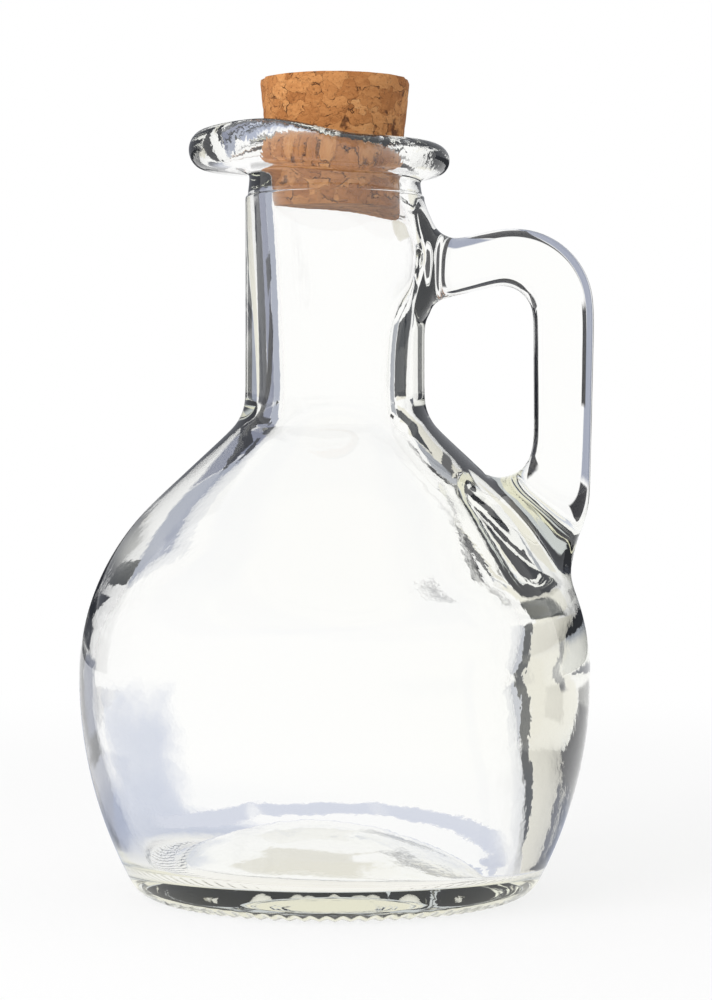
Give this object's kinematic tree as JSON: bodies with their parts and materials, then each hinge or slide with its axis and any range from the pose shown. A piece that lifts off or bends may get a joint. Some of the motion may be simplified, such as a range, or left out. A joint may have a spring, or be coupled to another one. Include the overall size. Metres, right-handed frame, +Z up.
{
  "type": "glass oil bottle",
  "caption": "Round-bodied clear glass pouring bottle with a tall neck, a flared lip with a spout, a solid side handle and a tapered cork stopper.",
  "frame": {"origin": "on the bottle's axis in the plane of the ring that it stands on", "axes": "+Z up along the neck, +X towards the handle, -X towards the tip of the pouring lip"},
  "size_m": [0.0873, 0.0868, 0.138],
  "materials": {
    "glass": "clear, slightly wavy, fire-polished",
    "cork": "matte pressed cork granules"
  },
  "bodies": {
    "glass_bottle": {"bottle": "glass"},
    "cork": {"cork_stopper": "cork"}
  },
  "joints": [
    {"name": "cork_lift", "type": "slide", "parent": "glass_bottle", "child": "cork", "axis": [0, 0, 1], "range_m": [0, 0.036]}
  ]
}
